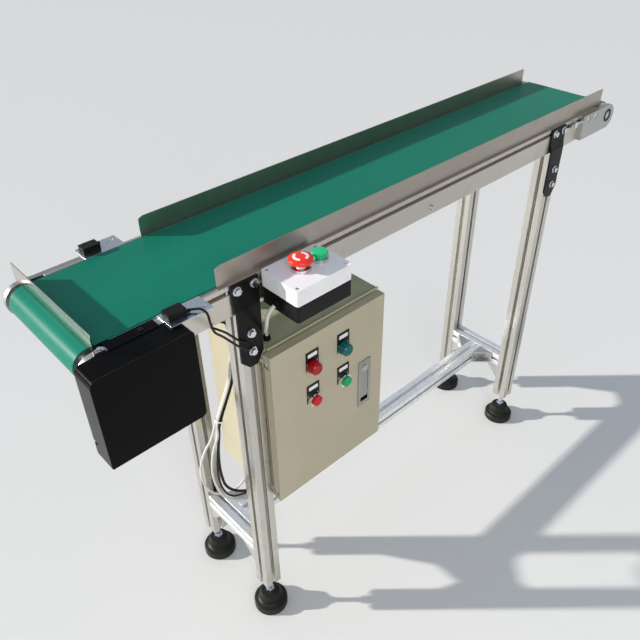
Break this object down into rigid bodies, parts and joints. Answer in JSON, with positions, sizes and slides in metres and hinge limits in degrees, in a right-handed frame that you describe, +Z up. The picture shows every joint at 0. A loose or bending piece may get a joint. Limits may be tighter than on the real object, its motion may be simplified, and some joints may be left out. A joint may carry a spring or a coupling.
{
  "type": "belt conveyor section",
  "caption": "Belt conveyor section with a flat green belt between slotted side rails, on a slot-profile stand with a control cabinet and push-button station.",
  "frame": {"origin": "on the floor under the middle of the outline", "axes": "+X along the conveyor from the drive end to the tail end, +Y away from the control side, +Z up"},
  "size_m": [1.478, 0.369, 0.99],
  "materials": {
    "rail_aluminium": "satin",
    "leg_aluminium": "satin anodised",
    "cast_aluminium": "cast",
    "zinc_sheet": "zinc plated",
    "zinc": "zinc plated",
    "stainless": "brushed",
    "bearing_steel": "ground",
    "roller_steel": "turned",
    "chrome": "polished",
    "nickel": "satin nickel",
    "cast_grey": "painted",
    "gloss_black": "gloss",
    "black_powder": "satin powder coat",
    "beige_enamel": "satin enamel",
    "belt_green": "smooth",
    "black_rubber": "matt",
    "black_plastic": "fine grain",
    "white_plastic": "smooth",
    "grey_cable": "smooth",
    "red_plastic": "gloss",
    "green_plastic": "gloss",
    "red_lens": "translucent",
    "teal_lens": "translucent"
  },
  "bodies": {
    "frame": {"side_rail_near": "rail_aluminium", "side_rail_far": "rail_aluminium", "slider_bed": "zinc_sheet", "tie_bars": "rail_aluminium", "return_strips": "white_plastic", "belt": "belt_green", "end_plates": "rail_aluminium", "drive_bearings": "bearing_steel", "timing_belt": "black_rubber", "gear_motor": "cast_grey", "drive_guard": "gloss_black", "stop_plate": "stainless", "slot_nuts": "zinc", "leg_near_drive": "leg_aluminium", "leg_far_drive": "leg_aluminium", "leg_near_tail": "leg_aluminium", "leg_far_tail": "leg_aluminium", "cross_beams": "leg_aluminium", "long_beam": "leg_aluminium", "gussets": "cast_aluminium", "leg_brackets": "black_powder", "frame_bolts": "zinc", "guide_near": "stainless", "guide_far": "stainless", "sensor_brackets": "zinc_sheet", "sensors": "black_plastic", "cabinet_body": "beige_enamel", "cabinet_hinges": "zinc", "cabinet_gear": "white_plastic", "station_base": "black_plastic", "station_lid": "white_plastic", "cable_fittings": "black_plastic", "control_cord": "grey_cable", "sensor_cord": "black_rubber", "motor_cord": "black_rubber", "grey_cord": "grey_cable", "tacho_cord": "grey_cable"},
    "drive_roller": {"drive_roller": "roller_steel"},
    "motor_pulley": {"motor_pulley": "bearing_steel"},
    "tail_carriage": {"tail_plates": "rail_aluminium", "tail_bearings": "bearing_steel", "take_up_screws": "zinc"},
    "tail_roller": {"tail_roller": "roller_steel"},
    "door": {"cabinet_door": "beige_enamel", "lamp_red": "red_lens", "lamp_green": "teal_lens", "legend_plates": "black_plastic", "button_bezels": "chrome", "lock_case": "nickel"},
    "door_lever": {"lock_lever": "nickel"},
    "door_latch_button": {"lock_button": "chrome"},
    "stop_button": {"button_red": "red_plastic"},
    "run_button": {"button_green": "green_plastic"},
    "emergency_stem": {"estop_stem": "white_plastic"},
    "emergency_cap": {"estop_cap": "red_plastic"},
    "start_button": {"start_button": "green_plastic"},
    "foot_near_drive": {"foot_near_drive": "black_rubber"},
    "foot_near_tail": {"foot_near_tail": "black_rubber"},
    "foot_far_drive": {"foot_far_drive": "black_rubber"},
    "foot_far_tail": {"foot_far_tail": "black_rubber"}
  },
  "joints": [
    {"name": "drive_roller_spin", "type": "hinge", "parent": "frame", "child": "drive_roller", "pos_m": [-0.704, 0.0315, 0.923], "axis": [0, 1, 0], "continuous": true},
    {"name": "motor_pulley_spin", "type": "hinge", "parent": "frame", "child": "motor_pulley", "pos_m": [-0.621, -0.1185, 0.83], "axis": [0, 1, 0], "continuous": true},
    {"name": "belt_take_up", "type": "slide", "parent": "frame", "child": "tail_carriage", "axis": [1, 0, 0], "range_m": [-0.012, 0]},
    {"name": "tail_roller_spin", "type": "hinge", "parent": "tail_carriage", "child": "tail_roller", "pos_m": [0.709, 0.0315, 0.923], "axis": [0, 1, 0], "continuous": true},
    {"name": "cabinet_door_swing", "type": "hinge", "parent": "frame", "child": "door", "pos_m": [-0.411, -0.1025, 0.594], "axis": [0, 0, 1], "range_deg": [-90, 0]},
    {"name": "door_lever_pull", "type": "hinge", "parent": "door", "child": "door_lever", "pos_m": [-0.176, -0.1115, 0.541], "axis": [1, 0, 0], "range_deg": [0, 35]},
    {"name": "door_latch_press", "type": "slide", "parent": "door", "child": "door_latch_button", "axis": [0, 1, 0], "range_m": [0, 0.004], "stiffness_N_per_m": 400, "springref_m": -0.004},
    {"name": "stop_button_press", "type": "slide", "parent": "door", "child": "stop_button", "axis": [0, 1, 0], "range_m": [0, 0.004], "stiffness_N_per_m": 400, "springref_m": -0.004},
    {"name": "run_button_press", "type": "slide", "parent": "door", "child": "run_button", "axis": [0, 1, 0], "range_m": [0, 0.004], "stiffness_N_per_m": 400, "springref_m": -0.004},
    {"name": "emergency_press", "type": "slide", "parent": "frame", "child": "emergency_stem", "axis": [0, 0, -1], "range_m": [0, 0.004], "stiffness_N_per_m": 600, "springref_m": -0.004},
    {"name": "emergency_release_twist", "type": "hinge", "parent": "emergency_stem", "child": "emergency_cap", "pos_m": [-0.353, -0.1375, 0.96], "axis": [0, 0, 1], "range_deg": [0, 30], "stiffness_Nm_per_rad": 0.02},
    {"name": "start_button_press", "type": "slide", "parent": "frame", "child": "start_button", "axis": [0, 0, -1], "range_m": [0, 0.004], "stiffness_N_per_m": 400, "springref_m": -0.004},
    {"name": "foot_near_drive_level", "type": "slide", "parent": "frame", "child": "foot_near_drive", "axis": [0, 0, -1], "range_m": [0, 0.02]},
    {"name": "foot_near_tail_level", "type": "slide", "parent": "frame", "child": "foot_near_tail", "axis": [0, 0, -1], "range_m": [0, 0.02]},
    {"name": "foot_far_drive_level", "type": "slide", "parent": "frame", "child": "foot_far_drive", "axis": [0, 0, -1], "range_m": [0, 0.02]},
    {"name": "foot_far_tail_level", "type": "slide", "parent": "frame", "child": "foot_far_tail", "axis": [0, 0, -1], "range_m": [0, 0.02]}
  ],
  "couplings": [
    {"joint": "motor_pulley_spin", "follows": "drive_roller_spin", "ratio": 1}
  ]
}
